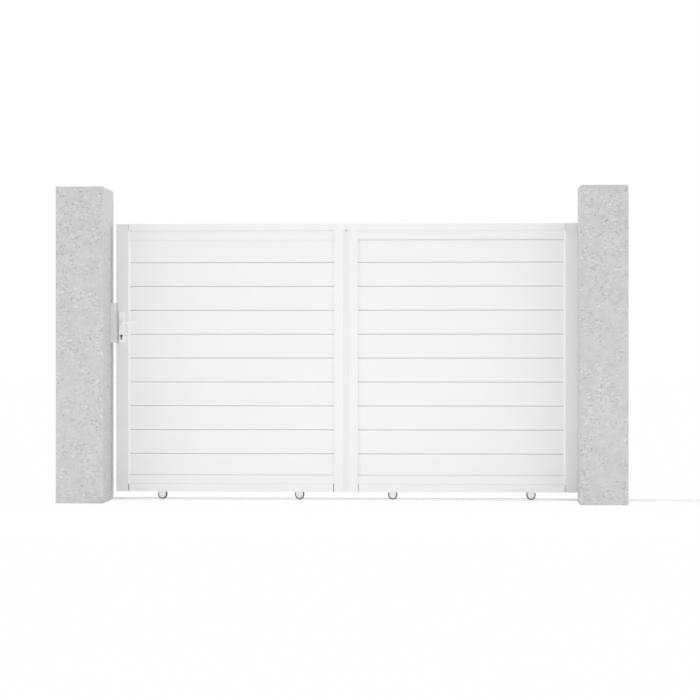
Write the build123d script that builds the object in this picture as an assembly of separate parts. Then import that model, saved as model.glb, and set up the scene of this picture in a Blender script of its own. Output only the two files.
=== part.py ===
from build123d import *
import os
from math import hypot

# Sliding driveway gate: two masonry pillars, a ground track and a white two-panel leaf on four
# wheels. Millimetres. X runs along the wall from the closing pillar towards the parked leaf,
# Y runs from the street to the yard, Z is up. The origin is the centre of the closing pillar's foot.

# Pillars
passage = 3000
pillar_width = 300
pillar_rise = 219
closing_pillar_depth = 450
guide_pillar_depth = 300
pillar_edge = 4

# Leaf as a whole
leaf_depth = 50
closing_gap = 33
rear_overlap = 5
ground_gap = 55
tail_length = 255
section_wall = 3
shadow_gap = 3
fit = 0.3

# Stiles and rails
stile_width = 77
mid_stile_width = 58
mid_strip_width = 37
mid_strip_recess = 3
wheel_rail_height = 48
lower_rail_height = 58.5
upper_rail_height = 61
infill_rail_depth = 34
guide_rail_height = 44
tail_rail_height = 80
tail_rail_lift = 3
tail_upright_width = 50
cap_thickness = 3
foot_cap_height = 14
cap_entry = 12
cap_edge = 1.5
cap_fit = 0.2
bead_width = 12
bead_flat = 3
bead_toe = 2

# Boards
board_depth = 24
board_pitch = 154
board_wall = 2
whole_boards = 8
bottom_board_face = 138.3
top_board_face = 144.2
board_end_entry = 10
groove_depth = 12
board_bevel = 3
tongue_depth = 6
tongue_height = 7

# Wheels
wheel_radius = 30
wheel_width = 20
rim_groove = 8
wheel_from_stile = 221.5
wheel_from_centre = 300
axle_radius = 6
running_clearance = 0.06
hub_radius = 11

# Wheel housings
housing_plate = 4
housing_length = 90
housing_cheek_radius = 22
housing_lift = 8
housing_side_gap = 0.5
hub_gap = 0.3
bolt_head_radius = 9
bolt_head_height = 6
bolt_end = 4

# Track
track_width = 40
track_plate = 3
track_bead_radius = 7
track_top = 15
track_joint_gap = 0.5
track_first_length = 3000
track_beyond_stop = 48
track_hole_radius = 4
track_hole_spread = 30
track_holes = 6
track_hole_margin = 125
seat_gap = 0.3

# Wheel stop at the far end
stop_clearance = 6
stop_pad = 10
stop_length = 50
stop_headroom = 9
stop_width = 36
pad_inset = 3
pad_rounding = 3

# Handle and lock
handle_height = 1144
backset = 35
cylinder_drop = 85
plate_width = 36
plate_height = 205
plate_drop = 31
plate_thickness = 9
plate_corner = 9
plate_edge = 2.5
neck_radius = 8
collar_radius = 12
collar_thickness = 4
collar_gap = 0.5
neck_entry = 2
lever_reach = 110
lever_projection = 52
lever_height = 17
lever_depth = 12
lever_bend = 15
lever_edge = 3
lever_tip = 3
spindle_side = 8
spindle_fit = 0.1
spindle_entry = 2
stile_bore_radius = 10
follower_bore_radius = 6.2
cylinder_radius = 8.5
cylinder_total = 33
cylinder_stem = 10
cylinder_proud = 3
keyway_width = 2.6
keyway_height = 9
keyway_depth = 12
faceplate_width = 22
faceplate_height = 235
lock_case_depth = 15
lock_case_height = 165
lock_case_gap = 5
hook_slot_width = 9
hook_slot_height = 48
hook_slot_depth = 12
hook_rise = 57.5
handle_stop_gap = 22

# Receiver on the closing pillar
receiver_height = 257
receiver_plate = 3
receiver_side_gap = 6
receiver_wing = 34
receiver_lip = 10
receiver_flare = 6
keeper_depth = 22
keeper_width = 46
keeper_height = 74
keeper_slack = 6
buffer_depth = 24
buffer_height = 34
buffer_width = 40
buffer_inset = 2
buffer_rounding = 4

# Guide bracket and rollers on the guide pillar
roller_radius = 18
roller_height = 46
roller_gap = 0.5
roller_back_gap = 2.5
roller_drop = 10
roller_first = 70
roller_spacing = 120
guide_plate = 6
guide_plate_drop = 95
guide_margin = 34
guide_arm_gap = 8
guide_arm_tail = 12
gusset_rise = 60
gusset_reach = 110
pin_radius = 6
pin_nut_radius = 10
pin_nut_height = 8

# Places that follow from the sizes above
closing_face = pillar_width / 2
guide_face = closing_face + passage
front_plane = -closing_pillar_depth / 2
guide_rear = front_plane + guide_pillar_depth
leaf_front = guide_rear + guide_plate + roller_back_gap + 2 * roller_radius + roller_gap
leaf_mid = leaf_front + leaf_depth / 2
leaf_rear = leaf_front + leaf_depth
leaf_start = closing_face + closing_gap
leaf_end = guide_face + rear_overlap
leaf_centre = (leaf_start + leaf_end) / 2
mid_width = 2 * mid_stile_width + mid_strip_width
left_opening = leaf_start + stile_width
left_opening_end = leaf_centre - mid_width / 2
right_opening = leaf_centre + mid_width / 2
right_opening_end = leaf_end - stile_width
tail_end = leaf_end + tail_length
tail_rail_end = tail_end - cap_thickness
foot_cap_top = ground_gap + foot_cap_height
wheel_rail_top = ground_gap + wheel_rail_height
sill = wheel_rail_top + lower_rail_height
boards_top = sill + bottom_board_face + whole_boards * board_pitch + top_board_face
upper_rail_top = boards_top + upper_rail_height
leaf_top = upper_rail_top + guide_rail_height
pillar_height = leaf_top + pillar_rise
rolling_radius = wheel_radius - rim_groove
bead_centre = track_top - track_bead_radius
axle_height = track_top + seat_gap + rolling_radius
wheel_places = [
    left_opening + wheel_from_stile,
    leaf_centre - wheel_from_centre,
    leaf_centre + wheel_from_centre,
    right_opening_end - wheel_from_stile,
]
cheek_outside = leaf_depth / 2 - section_wall - housing_side_gap
cheek_inside = cheek_outside - housing_plate
housing_shoulder = ground_gap + housing_lift
spindle_x = leaf_start + backset
cylinder_height = handle_height - cylinder_drop
plate_centre = handle_height - plate_drop
hook_height = plate_centre + hook_rise
lock_case_length = stile_width - groove_depth - 2 * section_wall - lock_case_gap
travel = guide_face - spindle_x - lever_reach - handle_stop_gap
stop_face = wheel_places[-1] + travel + wheel_radius + stop_clearance
stop_height = ground_gap - stop_headroom
track_end = stop_face + stop_pad + stop_length + track_beyond_stop
arm_underside = leaf_top + guide_arm_gap
arm_top = arm_underside + guide_plate
roller_top = arm_underside - roller_drop
roller_places = [guide_face + roller_first, guide_face + roller_first + roller_spacing]

parts = {}


def block(x0, x1, y0, y1, z0, z1):
    """A rectangular block between two opposite corners."""
    centre = Pos((x0 + x1) / 2, (y0 + y1) / 2, (z0 + z1) / 2)
    return centre * Box(x1 - x0, y1 - y0, z1 - z0)


def along_x(profile, x0, x1):
    """A profile drawn in Y and Z, extruded from x0 to x1."""
    return extrude(Plane.YZ.offset(x0) * profile, x1 - x0, dir=(1, 0, 0))


def along_z(profile, z0, z1):
    """A profile drawn in X and Y, extruded from z0 to z1."""
    return extrude(Plane.XY.offset(z0) * profile, z1 - z0, dir=(0, 0, 1))


def along_y(profile, x, z, y0, y1):
    """A profile drawn in X and Z about a point, extruded from y0 to y1."""
    face = Plane(origin=(x, y0, z), x_dir=(1, 0, 0), z_dir=(0, -1, 0))
    return extrude(face * profile, y1 - y0, dir=(0, 1, 0))


def rod_y(x, z, radius, y0, y1):
    """A round bar along Y between two places, given in either order."""
    return Pos(x, (y0 + y1) / 2, z) * Rot(90, 0, 0) * Cylinder(radius, abs(y1 - y0))


def rod_z(x, y, radius, z0, z1):
    """A round bar along Z."""
    return Pos(x, y, (z0 + z1) / 2) * Cylinder(radius, z1 - z0)


def tube(width, height):
    """A hollow rectangular section."""
    return Rectangle(width, height) - Rectangle(width - 2 * section_wall, height - 2 * section_wall)


def grooved_tube(width, depth):
    """A hollow section, width along the first axis, with a groove for the boards on its + side."""
    groove = board_depth + 2 * fit
    edge = width / 2
    solid = Rectangle(width, depth) - Pos(edge - groove_depth / 2, 0) * Rectangle(groove_depth, groove)
    inside = Rectangle(width - 2 * section_wall, depth - 2 * section_wall)
    lining = groove_depth + section_wall
    inside -= Pos(edge - lining / 2, 0) * Rectangle(lining, groove + 2 * section_wall)
    return solid - inside


def pillar(x, depth):
    """A plain rendered pillar whose front face lies in the common front plane."""
    half = pillar_width / 2
    body = block(x - half, x + half, front_plane, front_plane + depth, 0, pillar_height)
    edges = body.edges().filter_by(Axis.Z) + body.edges().group_by(Axis.Z)[-1]
    return chamfer(edges, pillar_edge)


def stile(x0, x1, foot, top, groove_towards):
    """An upright section between x0 and x1, with its board groove towards -1 or +1 in X."""
    profile = grooved_tube(x1 - x0, leaf_depth)
    if groove_towards < 0:
        profile = Rot(0, 0, 180) * profile
    return along_z(Pos((x0 + x1) / 2, leaf_mid) * profile, foot, top)


def euro_profile(margin):
    """The outline of a profile cylinder in X and Z, its round part at the origin."""
    stem_centre = cylinder_radius - cylinder_total + cylinder_stem / 2
    outline = Circle(cylinder_radius + margin)
    outline += Pos(0, stem_centre / 2) * Rectangle(cylinder_stem + 2 * margin, -stem_centre)
    outline += Pos(0, stem_centre) * Circle(cylinder_stem / 2 + margin)
    return outline


def euro_bar(margin, y0, y1):
    """The profile cylinder's outline from y0 to y1 at its place in the leaf."""
    return along_y(euro_profile(margin), spindle_x, cylinder_height, y0, y1)


def rounded_end_bar(width, height, x0, x1, y, z):
    """A plate in Y and Z with round ends, from x0 to x1."""
    return along_x(Pos(y, z) * SlotOverall(height, width, rotation=90), x0, x1)


def closing_stile():
    """The stile with the lock: bored for the spindle and cylinder, slotted for the lock's faceplate."""
    body = stile(leaf_start, left_opening, foot_cap_top, leaf_top - cap_thickness, 1)
    y0, y1 = leaf_front - 1, leaf_rear + 1
    body -= rod_y(spindle_x, handle_height, stile_bore_radius, y0, y1)
    body -= euro_bar(1, y0, y1)
    slot = (faceplate_width + 2 * fit, faceplate_height + 2 * fit)
    return body - rounded_end_bar(*slot, leaf_start - 1, leaf_start + section_wall, leaf_mid, plate_centre)


def rail(x0, x1, z0, z1, groove_towards):
    """A level section, thinner than the leaf, with its board groove towards -1 (down) or +1 (up)."""
    profile = Rot(0, 0, 90 * groove_towards) * grooved_tube(z1 - z0, infill_rail_depth)
    return along_x(Pos(leaf_mid, (z0 + z1) / 2) * profile, x0, x1)


def wheel_rail(x0, x1):
    """The channel, open below, that the wheel housings hang in."""
    body = block(x0, x1, leaf_front, leaf_rear, ground_gap, wheel_rail_top)
    y0, y1 = leaf_front + section_wall, leaf_rear - section_wall
    return body - block(x0 - 1, x1 + 1, y0, y1, ground_gap - 1, wheel_rail_top - section_wall)


def plugged_tube(x0, x1, z0, z1, end_plugs):
    """A level section whose ends stand a shadow gap off their stiles on a smaller plug."""
    middle = Pos(leaf_mid, (z0 + z1) / 2)
    start = x0 + shadow_gap * end_plugs[0]
    finish = x1 - shadow_gap * end_plugs[1]
    body = along_x(middle * tube(leaf_depth, z1 - z0), start, finish)
    plug = Rectangle(leaf_depth - 1.5 * section_wall, z1 - z0 - 1.5 * section_wall)
    if end_plugs[0]:
        body += along_x(middle * plug, x0, start + section_wall)
    if end_plugs[1]:
        body += along_x(middle * plug, finish - section_wall, x1)
    return body


def board(x0, x1, z0, face_height, below, above):
    """One hollow tongue-and-groove board: below and above are "joint" or "rail"."""
    half = board_depth / 2
    low = 0 if below == "joint" else -board_end_entry
    high = face_height - fit if above == "joint" else face_height + board_end_entry
    outline = Pos(0, (low + high) / 2) * Rectangle(board_depth, high - low)
    hollow_low = low + board_wall
    hollow_high = high - board_wall
    if below == "joint":
        groove = tongue_height + 1
        outline -= Pos(0, groove / 2) * Rectangle(tongue_depth + 2 * fit, groove)
        outline -= bevelled_corners(half, low, 1)
        hollow_low += groove
    if above == "joint":
        outline -= bevelled_corners(half, high, -1)
        outline += Pos(0, high + tongue_height / 2) * Rectangle(tongue_depth, tongue_height)
        hollow_high -= board_bevel
    hollow = Rectangle(board_depth - 2 * board_wall, hollow_high - hollow_low)
    outline -= Pos(0, (hollow_low + hollow_high) / 2) * hollow
    return along_x(Pos(leaf_mid, z0) * outline, x0, x1)


def bevelled_corners(half, edge, inwards):
    """The two corners cut off a board's faces at a joint, at height edge, inwards being up or down."""
    cuts = Sketch()
    for side in (-1, 1):
        corner = (side * half, edge)
        across = (side * (half - board_bevel), edge)
        along = (side * half, edge + inwards * board_bevel)
        cuts += Polygon(corner, across, along, align=None)
    return cuts


def infill(x0, x1):
    """Ten level boards, their ends in the stiles' grooves."""
    start = x0 - board_end_entry
    finish = x1 + board_end_entry
    first_joint = sill + bottom_board_face
    boards = [board(start, finish, sill, bottom_board_face, "rail", "joint")]
    for row in range(whole_boards):
        base = first_joint + row * board_pitch
        boards.append(board(start, finish, base, board_pitch, "joint", "joint"))
    last_joint = first_joint + whole_boards * board_pitch
    boards.append(board(start, finish, last_joint, top_board_face, "joint", "rail"))
    return Compound(children=boards)


def beads():
    """Bevelled beads, front and rear, beside the outer stiles, notched over the rails."""
    recess = (leaf_depth - board_depth) / 2 - fit
    points = [(0, 0), (bead_flat, 0), (bead_width, recess - bead_toe), (bead_width, recess), (0, recess)]
    half = infill_rail_depth / 2 + fit
    sides = (left_opening, right_opening_end, leaf_mid - half, leaf_mid + half)
    bars = []
    for x, towards in ((left_opening, 1), (right_opening_end, -1)):
        for face, inwards in ((leaf_front, 1), (leaf_rear, -1)):
            corners = [(x + towards * across, face + inwards * deep) for across, deep in points]
            bar = along_z(Polygon(*corners, align=None), wheel_rail_top, upper_rail_top)
            bar -= block(*sides, wheel_rail_top, sill)
            bars.append(bar - block(*sides, boards_top, upper_rail_top))
    return Compound(children=bars)


def mid_strip():
    """The recessed hollow strip that joins the two middle stiles."""
    profile = tube(mid_strip_width, leaf_depth - 2 * mid_strip_recess)
    return along_z(Pos(leaf_centre, leaf_mid) * profile, ground_gap, upper_rail_top)


def stile_caps(x0, x1, low_side, high_side):
    """The cap on an outer stile's top and the deeper one under its foot, with plugs clear of its groove."""
    plug = section_wall + cap_fit
    plug_sides = (x0 + low_side + plug, x1 - high_side - plug, leaf_front + plug, leaf_rear - plug)
    lid_base = leaf_top - cap_thickness
    top = block(x0, x1, leaf_front, leaf_rear, lid_base, leaf_top)
    top = chamfer(top.edges().group_by(Axis.Z)[-1], cap_edge)
    top += block(*plug_sides, lid_base - cap_entry, lid_base)
    foot = block(x0, x1, leaf_front, leaf_rear, ground_gap, foot_cap_top)
    foot = chamfer(foot.edges().group_by(Axis.Z)[-1], cap_edge)
    foot += block(*plug_sides, foot_cap_top, foot_cap_top + cap_entry)
    return [top, foot]


def end_caps():
    """Plastic caps on the outer stiles' tops and feet and on the ends of the tail's rails."""
    plug = section_wall + cap_fit
    groove = groove_depth + section_wall
    caps = stile_caps(leaf_start, left_opening, 0, groove)
    caps += stile_caps(right_opening_end, leaf_end, groove, 0)
    for z0, z1 in tail_rail_levels():
        cap = block(tail_rail_end, tail_end, leaf_front, leaf_rear, z0, z1)
        cap = chamfer(cap.edges().group_by(Axis.X)[-1], cap_edge)
        start = tail_rail_end - cap_entry
        cap += block(start, tail_rail_end, leaf_front + plug, leaf_rear - plug, z0 + plug, z1 - plug)
        caps.append(cap)
    return Compound(children=caps)


def tail_rail_levels():
    """The bottom and top of each of the tail's two rails."""
    base = ground_gap + tail_rail_lift
    return [(base, base + tail_rail_height), (leaf_top - tail_rail_height, leaf_top)]


def tail_upright():
    """The upright at the end of the tail, between its two rails."""
    centre = Pos(tail_rail_end - tail_upright_width / 2, leaf_mid)
    low_rail, high_rail = tail_rail_levels()
    return along_z(centre * tube(tail_upright_width, leaf_depth), low_rail[1], high_rail[0])


def wheel_profile():
    """Half the section of a wheel, with radius along the first axis and width along the second.

    The groove has a flat floor and two sloping flanks, which centre it on the track's bead.
    """
    bore = axle_radius + running_clearance
    hub_width = 2 * (cheek_inside - hub_gap)
    profile = Pos((bore + wheel_radius) / 2, 0) * Rectangle(wheel_radius - bore, wheel_width)
    profile += Pos((bore + hub_radius) / 2, 0) * Rectangle(hub_radius - bore, hub_width)
    groove = RegularPolygon(rim_groove, 6, major_radius=False, rotation=30)
    return profile - Pos(wheel_radius, 0) * groove


def wheel(x):
    """A turned wheel with a grooved rim and a hub that fills the housing's width."""
    centre = Plane(origin=(x, leaf_mid, axle_height), x_dir=(1, 0, 0), z_dir=(0, 0, 1))
    return revolve(centre * wheel_profile(), Axis((x, leaf_mid, axle_height), (0, 1, 0)), 360)


def wheel_housing(x):
    """A folded housing under the wheel rail's web, with a round-ended cheek on each side."""
    top = wheel_rail_top - section_wall
    half = housing_length / 2
    reach = housing_cheek_radius
    y0, y1 = leaf_mid - cheek_inside, leaf_mid + cheek_inside
    body = block(x - half, x + half, y0, y1, top - housing_plate, top)
    for y0 in (leaf_mid - cheek_outside, leaf_mid + cheek_inside):
        y1 = y0 + housing_plate
        body += block(x - half, x + half, y0, y1, housing_shoulder, top)
        body += block(x - reach, x + reach, y0, y1, axle_height, housing_shoulder)
        body += rod_y(x, axle_height, reach, y0, y1)
    return body - rod_y(x, axle_height, axle_radius + fit / 3, leaf_front, leaf_rear)


def hexagon_y(x, z, radius, y0, y1):
    """A hexagonal head or nut along Y."""
    return along_y(RegularPolygon(radius, 6), x, z, y0, y1)


def axle(x):
    """An axle bolt with its head in front and its nut behind."""
    front, rear = leaf_mid - cheek_outside, leaf_mid + cheek_outside
    body = rod_y(x, axle_height, axle_radius, front, rear + bolt_head_height + bolt_end)
    body += hexagon_y(x, axle_height, bolt_head_radius, front - bolt_head_height, front)
    body += hexagon_y(x, axle_height, bolt_head_radius, rear, rear + bolt_head_height)
    return body


def track(x0, x1):
    """A flat strip with a half-round bead on it, with screw holes that alternate from side to side."""
    edge = track_width / 2
    bead = track_bead_radius
    strip = block(x0, x1, leaf_mid - edge, leaf_mid + edge, 0, track_plate)
    strip += along_x(Pos(leaf_mid, bead_centre) * Circle(bead), x0, x1)
    strip += block(x0, x1, leaf_mid - bead, leaf_mid + bead, track_plate, bead_centre)
    pitch = (x1 - x0 - 2 * track_hole_margin) / (track_holes - 1)
    for number in range(track_holes):
        x = x0 + track_hole_margin + number * pitch
        side = track_hole_spread / 2 * (1 if number % 2 else -1)
        strip -= rod_z(x, leaf_mid + side, track_hole_radius, -1, track_plate + 1)
    return strip


def wheel_stop():
    """A stop on the track with an upright face and a sloping back, cut out to sit over the bead."""
    x0 = stop_face + stop_pad
    x1 = x0 + stop_length
    crest = x0 + stop_length / 3
    half = stop_width / 2
    corners = [(x0, track_plate), (x0, stop_height), (crest, stop_height), (x1, track_top)]
    corners.append((x1, track_plate))
    body = along_y(Polygon(*corners, align=None), 0, 0, leaf_mid - half, leaf_mid + half)
    side = track_bead_radius + fit
    body -= along_x(Pos(leaf_mid, bead_centre) * Circle(side), x0 - 1, x1 + 1)
    return body - block(x0 - 1, x1 + 1, leaf_mid - side, leaf_mid + side, 0, bead_centre)


def stop_buffer():
    """The rubber pad on the stop's face, clear of the track's bead."""
    half = stop_width / 2 - pad_inset
    x1 = stop_face + stop_pad
    low, high = track_top + pad_inset, stop_height - pad_inset
    pad = block(stop_face, x1, leaf_mid - half, leaf_mid + half, low, high)
    return fillet(pad.edges().group_by(Axis.X)[0], pad_rounding)


def receiver():
    """A folded channel on the closing pillar whose flared wings take the leaf's edge."""
    inner = leaf_depth / 2 + receiver_side_gap
    outer = inner + receiver_plate
    x0 = closing_face
    x1 = x0 + receiver_plate
    x2 = x0 + receiver_wing
    x3 = x2 + receiver_lip
    flare = outer + receiver_flare
    slope = receiver_plate * hypot(receiver_lip, receiver_flare) / receiver_lip
    half = [(x0, outer), (x2, outer), (x3, flare), (x3, flare - slope), (x2, inner), (x1, inner)]
    mirrored = [(x, -y) for x, y in reversed(half)]
    z0 = handle_height - receiver_height / 2
    return along_z(Pos(0, leaf_mid) * Polygon(*half, *mirrored, align=None), z0, z0 + receiver_height)


def strike_keeper():
    """A folded keeper on the receiver's back, slotted for the lock's hook."""
    x0 = closing_face + receiver_plate
    x1 = x0 + keeper_depth
    half = keeper_width / 2
    z0 = hook_height - keeper_height / 2
    body = block(x0, x1, leaf_mid - half, leaf_mid + half, z0, z0 + keeper_height)
    half -= receiver_plate
    body -= block(x0 - 1, x1 - receiver_plate, leaf_mid - half, leaf_mid + half, 0, pillar_height)
    slot_width = hook_slot_width + keeper_slack
    slot_height = hook_slot_height + keeper_slack
    return body - rounded_end_bar(slot_width, slot_height, x0, x1 + 1, leaf_mid, hook_height)


def closing_buffers():
    """Two rubber blocks in the receiver, one at each end of it."""
    pair = []
    x0 = closing_face + receiver_plate
    x1 = x0 + buffer_depth
    half = buffer_width / 2
    offset = (receiver_height - buffer_height) / 2 - buffer_inset
    for z in (handle_height - offset, handle_height + offset):
        z0, z1 = z - buffer_height / 2, z + buffer_height / 2
        pad = block(x0, x1, leaf_mid - half, leaf_mid + half, z0, z1)
        pair.append(fillet(pad.edges().group_by(Axis.X)[-1], buffer_rounding))
    return Compound(children=pair)


def roller_centres():
    """Where the guide rollers stand in X and Y, in pairs on either side of the leaf."""
    front = leaf_front - roller_gap - roller_radius
    rear = leaf_rear + roller_gap + roller_radius
    return [(x, y) for x in roller_places for y in (front, rear)]


def guide_bracket():
    """A plate on the guide pillar with a gusseted arm over the leaf, bored for the roller pins."""
    x0 = roller_places[0] - guide_margin
    x1 = roller_places[1] + guide_margin
    back = guide_rear + guide_plate
    arm_end = leaf_rear + roller_gap + roller_radius + guide_arm_tail
    body = block(x0, x1, guide_rear, back, arm_top - guide_plate_drop, arm_top + gusset_rise)
    body += block(x0, x1, guide_rear, arm_end, arm_underside, arm_top)
    for x in (x0, x1 - guide_plate):
        corners = [(back, arm_top), (back + gusset_reach, arm_top), (back, arm_top + gusset_rise)]
        body += along_x(Polygon(*corners, align=None), x, x + guide_plate)
    for x, y in roller_centres():
        body -= rod_z(x, y, pin_radius + fit / 3, arm_underside - 1, arm_top + 1)
    return body


def roller_pins():
    """The bolts that carry the guide rollers, each with a nut under the arm and one above it."""
    pins = []
    for x, y in roller_centres():
        body = rod_z(x, y, pin_radius, roller_top - roller_height, arm_top + pin_nut_height + bolt_end)
        nut = Pos(x, y) * RegularPolygon(pin_nut_radius, 6)
        body += along_z(nut, roller_top + fit, arm_underside)
        body += along_z(nut, arm_top, arm_top + pin_nut_height)
        pins.append(body)
    return Compound(children=pins)


def guide_rollers():
    """The four nylon rollers, each on its pin."""
    bottom = roller_top - roller_height
    bore = pin_radius + running_clearance
    rollers = []
    for x, y in roller_centres():
        body = rod_z(x, y, roller_radius, bottom, roller_top)
        rollers.append(body - rod_z(x, y, bore, bottom - 1, roller_top + 1))
    return Compound(children=rollers)


def escutcheon(side):
    """The long plate on one face of the closing stile, bored for the lever's neck and the cylinder."""
    face = leaf_front if side < 0 else leaf_rear
    outer = face + side * plate_thickness
    y0, y1 = min(face, outer), max(face, outer)
    outline = RectangleRounded(plate_width, plate_height, plate_corner)
    body = along_y(outline, spindle_x, plate_centre, y0, y1)
    outer_edges = body.edges().group_by(Axis.Y)[0 if side < 0 else -1]
    body = chamfer(outer_edges, plate_edge)
    body -= rod_y(spindle_x, handle_height, neck_radius + running_clearance, y0 - 1, y1 + 1)
    return body - euro_bar(fit, y0 - 1, y1 + 1)


def lock_cylinder():
    """The profile cylinder through the leaf, with a keyway in each end."""
    y0 = leaf_front - plate_thickness - cylinder_proud
    y1 = leaf_rear + plate_thickness + cylinder_proud
    body = euro_bar(0, y0, y1)
    x0, x1 = spindle_x - keyway_width / 2, spindle_x + keyway_width / 2
    z0, z1 = cylinder_height - keyway_height / 2, cylinder_height + keyway_height / 2
    for start, finish in ((y0 - 1, y0 + keyway_depth), (y1 - keyway_depth, y1 + 1)):
        body -= block(x0, x1, start, finish, z0, z1)
    return body


def lock():
    """The lock case inside the closing stile with its round-ended faceplate flush in the leaf's edge."""
    x0 = leaf_start + section_wall
    body = rounded_end_bar(faceplate_width, faceplate_height, leaf_start, x0, leaf_mid, plate_centre)
    half = lock_case_depth / 2
    z0 = plate_centre - lock_case_height / 2
    z1 = z0 + lock_case_height
    body += block(x0, x0 + lock_case_length, leaf_mid - half, leaf_mid + half, z0, z1)
    body -= rod_y(spindle_x, handle_height, follower_bore_radius, leaf_front, leaf_rear)
    body -= euro_bar(fit, leaf_front, leaf_rear)
    start, mouth = leaf_start - 1, leaf_start + hook_slot_depth
    return body - rounded_end_bar(hook_slot_width, hook_slot_height, start, mouth, leaf_mid, hook_height)


def lever(side):
    """One lever: a turned neck and collar, and a bevelled bar that bends from them into the grip."""
    face = leaf_front if side < 0 else leaf_rear
    plate_face = face + side * plate_thickness
    grip_y = face + side * lever_projection
    neck_start = plate_face - side * neck_entry
    collar_start = plate_face + side * collar_gap
    collar_end = collar_start + side * collar_thickness
    body = rod_y(spindle_x, handle_height, neck_radius, neck_start, collar_end)
    body += rod_y(spindle_x, handle_height, collar_radius, collar_start, collar_end)
    start = Vector(spindle_x, collar_end - side, handle_height)
    bend_start = Vector(spindle_x, grip_y - side * lever_bend, handle_height)
    bend_end = Vector(spindle_x + lever_bend, grip_y, handle_height)
    path = Line(start, bend_start)
    path += TangentArc(bend_start, bend_end, tangent=(0, side, 0))
    path += Line(bend_end, Vector(spindle_x + lever_reach, grip_y, handle_height))
    section = chamfer(Rectangle(lever_depth, lever_height).vertices(), lever_edge)
    bar = sweep(Plane(origin=start, x_dir=(1, 0, 0), z_dir=(0, side, 0)) * section, path)
    body += chamfer(bar.edges().group_by(Axis.X)[-1], lever_tip)
    half = spindle_side / 2 + spindle_fit
    low, high = sorted((neck_start - side, spindle_reach(side) + side * fit))
    x0, x1 = spindle_x - half, spindle_x + half
    return body - block(x0, x1, low, high, handle_height - half, handle_height + half)


def spindle_reach(side):
    """Where the spindle ends inside one lever."""
    face = leaf_front if side < 0 else leaf_rear
    return face + side * (plate_thickness + collar_gap + collar_thickness + spindle_entry)


def spindle():
    """The square bar that joins the two levers through the lock."""
    half = spindle_side / 2
    x0, x1 = spindle_x - half, spindle_x + half
    return block(x0, x1, spindle_reach(-1), spindle_reach(1), handle_height - half, handle_height + half)


def build_fixed_pieces():
    """Pillars, track, stop, receiver and guide."""
    parts["closing_pillar"] = pillar(0, closing_pillar_depth)
    parts["guide_pillar"] = pillar(guide_face + pillar_width / 2, guide_pillar_depth)
    joint = closing_face + track_first_length
    parts["track_near"] = track(closing_face, joint)
    parts["track_far"] = track(joint + track_joint_gap, track_end)
    parts["wheel_stop"] = wheel_stop()
    parts["stop_buffer"] = stop_buffer()
    parts["receiver"] = receiver()
    parts["strike_keeper"] = strike_keeper()
    parts["closing_buffers"] = closing_buffers()
    parts["guide_bracket"] = guide_bracket()
    parts["roller_pins"] = roller_pins()
    parts["guide_rollers"] = guide_rollers()


def build_leaf():
    """The leaf's frame, boards, tail, wheel housings and lock."""
    parts["closing_stile"] = closing_stile()
    strip_edges = (leaf_centre - mid_strip_width / 2, leaf_centre + mid_strip_width / 2)
    parts["middle_stile_left"] = stile(left_opening_end, strip_edges[0], ground_gap, upper_rail_top, -1)
    parts["middle_strip"] = mid_strip()
    parts["middle_stile_right"] = stile(strip_edges[1], right_opening, ground_gap, upper_rail_top, 1)
    rear_top = leaf_top - cap_thickness
    parts["rear_stile"] = stile(right_opening_end, leaf_end, foot_cap_top, rear_top, -1)
    for name, x0, x1 in (
        ("left", left_opening, left_opening_end),
        ("right", right_opening, right_opening_end),
    ):
        parts[f"wheel_rail_{name}"] = wheel_rail(x0 + shadow_gap, x1 - shadow_gap)
        parts[f"lower_rail_{name}"] = rail(x0, x1, wheel_rail_top, sill, 1)
        parts[f"upper_rail_{name}"] = rail(x0, x1, boards_top, upper_rail_top, -1)
        parts[f"boards_{name}"] = infill(x0, x1)
    parts["beads"] = beads()
    parts["guide_rail"] = plugged_tube(left_opening, right_opening_end, upper_rail_top, leaf_top, (1, 1))
    for name, (z0, z1) in zip(("bottom", "top"), tail_rail_levels()):
        parts[f"tail_rail_{name}"] = plugged_tube(leaf_end, tail_rail_end, z0, z1, (1, 0))
    parts["tail_upright"] = tail_upright()
    parts["end_caps"] = end_caps()
    for number, x in enumerate(wheel_places, 1):
        parts[f"wheel_housing_{number}"] = wheel_housing(x)
    parts["axles"] = Compound(children=[axle(x) for x in wheel_places])
    parts["lock"] = lock()
    parts["lock_cylinder"] = lock_cylinder()
    parts["escutcheon_front"] = escutcheon(-1)
    parts["escutcheon_rear"] = escutcheon(1)


def build_moving_pieces():
    """The wheels and the handle."""
    for number, x in enumerate(wheel_places, 1):
        parts[f"wheel_{number}"] = wheel(x)
    parts["lever_front"] = lever(-1)
    parts["lever_rear"] = lever(1)
    parts["spindle"] = spindle()


build_fixed_pieces()
build_leaf()
build_moving_pieces()
os.makedirs("parts", exist_ok=True)
for name, shape in parts.items():
    export_step(shape, f"parts/{name}.step")
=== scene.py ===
"""Looks of a white sliding driveway gate between two rendered pillars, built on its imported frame.

Every size is in metres in the frame's own axes: X runs from the closing pillar towards the parked
leaf, Y from the street to the yard, Z is up. The leaf, the wheels and the handle each ride on
their own body, and whatever is added here is placed from the boxes of the frame's nodes.
"""

import logging
import math
from dataclasses import dataclass, field
from enum import Enum
from typing import Callable, Iterable, Mapping, Sequence, Union

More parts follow.
